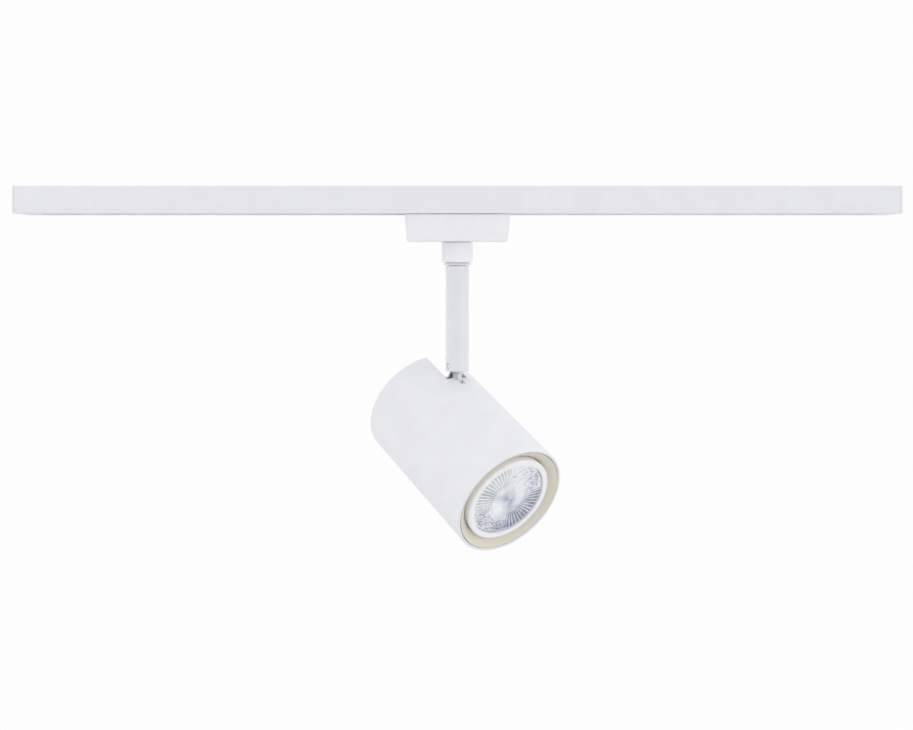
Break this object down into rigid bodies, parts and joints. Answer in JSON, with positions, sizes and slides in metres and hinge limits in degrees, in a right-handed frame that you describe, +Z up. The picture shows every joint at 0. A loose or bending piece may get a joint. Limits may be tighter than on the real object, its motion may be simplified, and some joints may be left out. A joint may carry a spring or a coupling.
{
  "type": "track spotlight",
  "caption": "Cylindrical reflector-lamp spotlight on a short stem, sliding in a ceiling rail, with pan, tilt, rail lock and twist-out lamp.",
  "frame": {"origin": "middle of the rail's ceiling face, straight above the stem", "axes": "+X along the rail, -Y towards the room, +Z up into the ceiling"},
  "size_m": [0.478, 0.1097, 0.1943],
  "materials": {
    "rail_paint": "satin white powder coat on extruded aluminium",
    "carrier_plastic": "matte white insulating plastic",
    "copper": "bright copper strip",
    "cap_plastic": "matte white plastic",
    "adapter_plastic": "fine-grained white plastic",
    "bush_plastic": "light grey bearing plastic",
    "steel": "zinc-plated steel",
    "brass": "turned brass",
    "stem_paint": "satin white paint on steel",
    "washer_nylon": "natural nylon",
    "head_paint": "satin white powder coat",
    "holder_ceramic": "unglazed steatite",
    "ring_cream": "matte cream-white inner ring",
    "brown_lead": "silicone-insulated lead",
    "blue_lead": "silicone-insulated lead",
    "earth_lead": "green and yellow silicone-insulated lead",
    "lamp_plastic": "smooth white thermoplastic",
    "lens_clear": "clear ribbed and honeycombed polycarbonate optic",
    "led_board": "white-coated aluminium board",
    "led_emitter": "yellow phosphor",
    "driver_board": "green circuit board"
  },
  "bodies": {
    "rail": {"rail_profile": "rail_paint", "conductor_carrier_front": "carrier_plastic", "conductor_carrier_rear": "carrier_plastic", "conductor_live": "copper", "conductor_neutral": "copper", "end_cap_left": "cap_plastic", "end_cap_right": "cap_plastic"},
    "adapter": {"adapter_housing": "adapter_plastic", "adapter_top_block": "adapter_plastic", "adapter_screw_front": "steel", "adapter_screw_rear": "steel", "contact_live": "copper", "contact_neutral": "copper", "earth_spring": "copper", "terminal_block": "carrier_plastic", "neck_collar": "adapter_plastic", "neck_bush": "bush_plastic", "pan_stop_peg": "adapter_plastic"},
    "lock": {"lock_cam": "steel", "lock_lever": "adapter_plastic", "lever_screw": "steel"},
    "stem": {"pan_stop_washer": "steel", "pan_spring_washer": "steel", "pan_nut": "brass", "stem_nipple": "steel", "stem_tube": "stem_paint", "stem_knuckle": "stem_paint", "knuckle_pin": "stem_paint", "stem_lead_live": "brown_lead", "stem_lead_neutral": "blue_lead", "stem_lead_earth": "earth_lead"},
    "head": {"pivot_screw": "steel", "pivot_nut": "steel", "friction_washer_left": "washer_nylon", "friction_washer_right": "washer_nylon", "head_shell": "head_paint", "back_cover": "head_paint", "cover_screw_left": "steel", "cover_screw_right": "steel", "lamp_bracket": "steel", "holder_screw_lower": "steel", "holder_screw_upper": "steel", "earth_screw": "brass", "lamp_holder": "holder_ceramic", "holder_contact_live": "brass", "holder_contact_neutral": "brass", "front_ring": "ring_cream", "hinge_bracket": "head_paint", "head_lead_live": "brown_lead", "head_lead_neutral": "blue_lead", "head_lead_earth": "earth_lead"},
    "lamp": {"lamp_body": "lamp_plastic", "lamp_lens": "lens_clear", "led_board": "led_board", "led_emitter": "led_emitter", "driver_board": "driver_board", "lamp_base": "lamp_plastic", "lamp_pin_live": "steel", "lamp_pin_neutral": "steel"}
  },
  "joints": [
    {"name": "rail_slide", "type": "slide", "parent": "rail", "child": "adapter", "axis": [1, 0, 0], "range_m": [-0.202, 0.202]},
    {"name": "lock_turn", "type": "hinge", "parent": "adapter", "child": "lock", "pos_m": [-0.012, 0, -0.0169], "axis": [0, 0, 1], "range_deg": [0, 90]},
    {"name": "stem_pan", "type": "hinge", "parent": "adapter", "child": "stem", "pos_m": [0, 0, -0.0615], "axis": [0, 0, 1], "range_deg": [-170, 170]},
    {"name": "head_tilt", "type": "hinge", "parent": "stem", "child": "head", "pos_m": [0, 0, -0.1113], "axis": [0.7934, 0.6088, 0], "range_deg": [-29.1, 60.9]},
    {"name": "lamp_twist", "type": "hinge", "parent": "head", "child": "lamp", "pos_m": [0.0027, -0.00352, -0.14341], "axis": [0.5319, -0.6932, -0.4863], "range_deg": [0, 25]}
  ]
}
